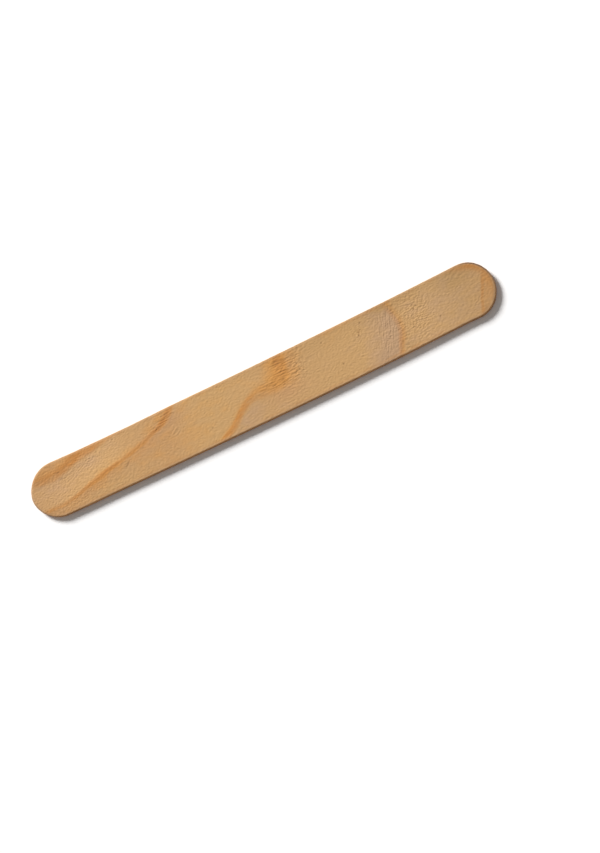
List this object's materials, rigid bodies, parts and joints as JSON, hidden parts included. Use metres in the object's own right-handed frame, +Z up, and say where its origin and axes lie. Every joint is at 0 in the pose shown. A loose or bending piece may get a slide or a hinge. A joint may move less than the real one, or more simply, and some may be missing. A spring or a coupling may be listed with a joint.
{
  "type": "tongue depressor",
  "caption": "Flat wooden tongue depressor: a thin birch veneer blade with parallel sides, half-round ends and tumbled edges, slightly bowed in its own plane.",
  "frame": {"origin": "under the middle of the bounding box, at the height of the underside that the blade rests on", "axes": "+X along the blade's length, +Y across it towards the side that its two tips bow to, +Z up through its thickness"},
  "size_m": [0.15, 0.0176, 0.0016],
  "materials": {
    "birch": "bare unvarnished birch veneer, dull and slightly fuzzy, with latewood bands crossing the blade and darker punched edges"
  },
  "bodies": {
    "root": {"tongue_depressor": "birch"}
  },
  "joints": []
}
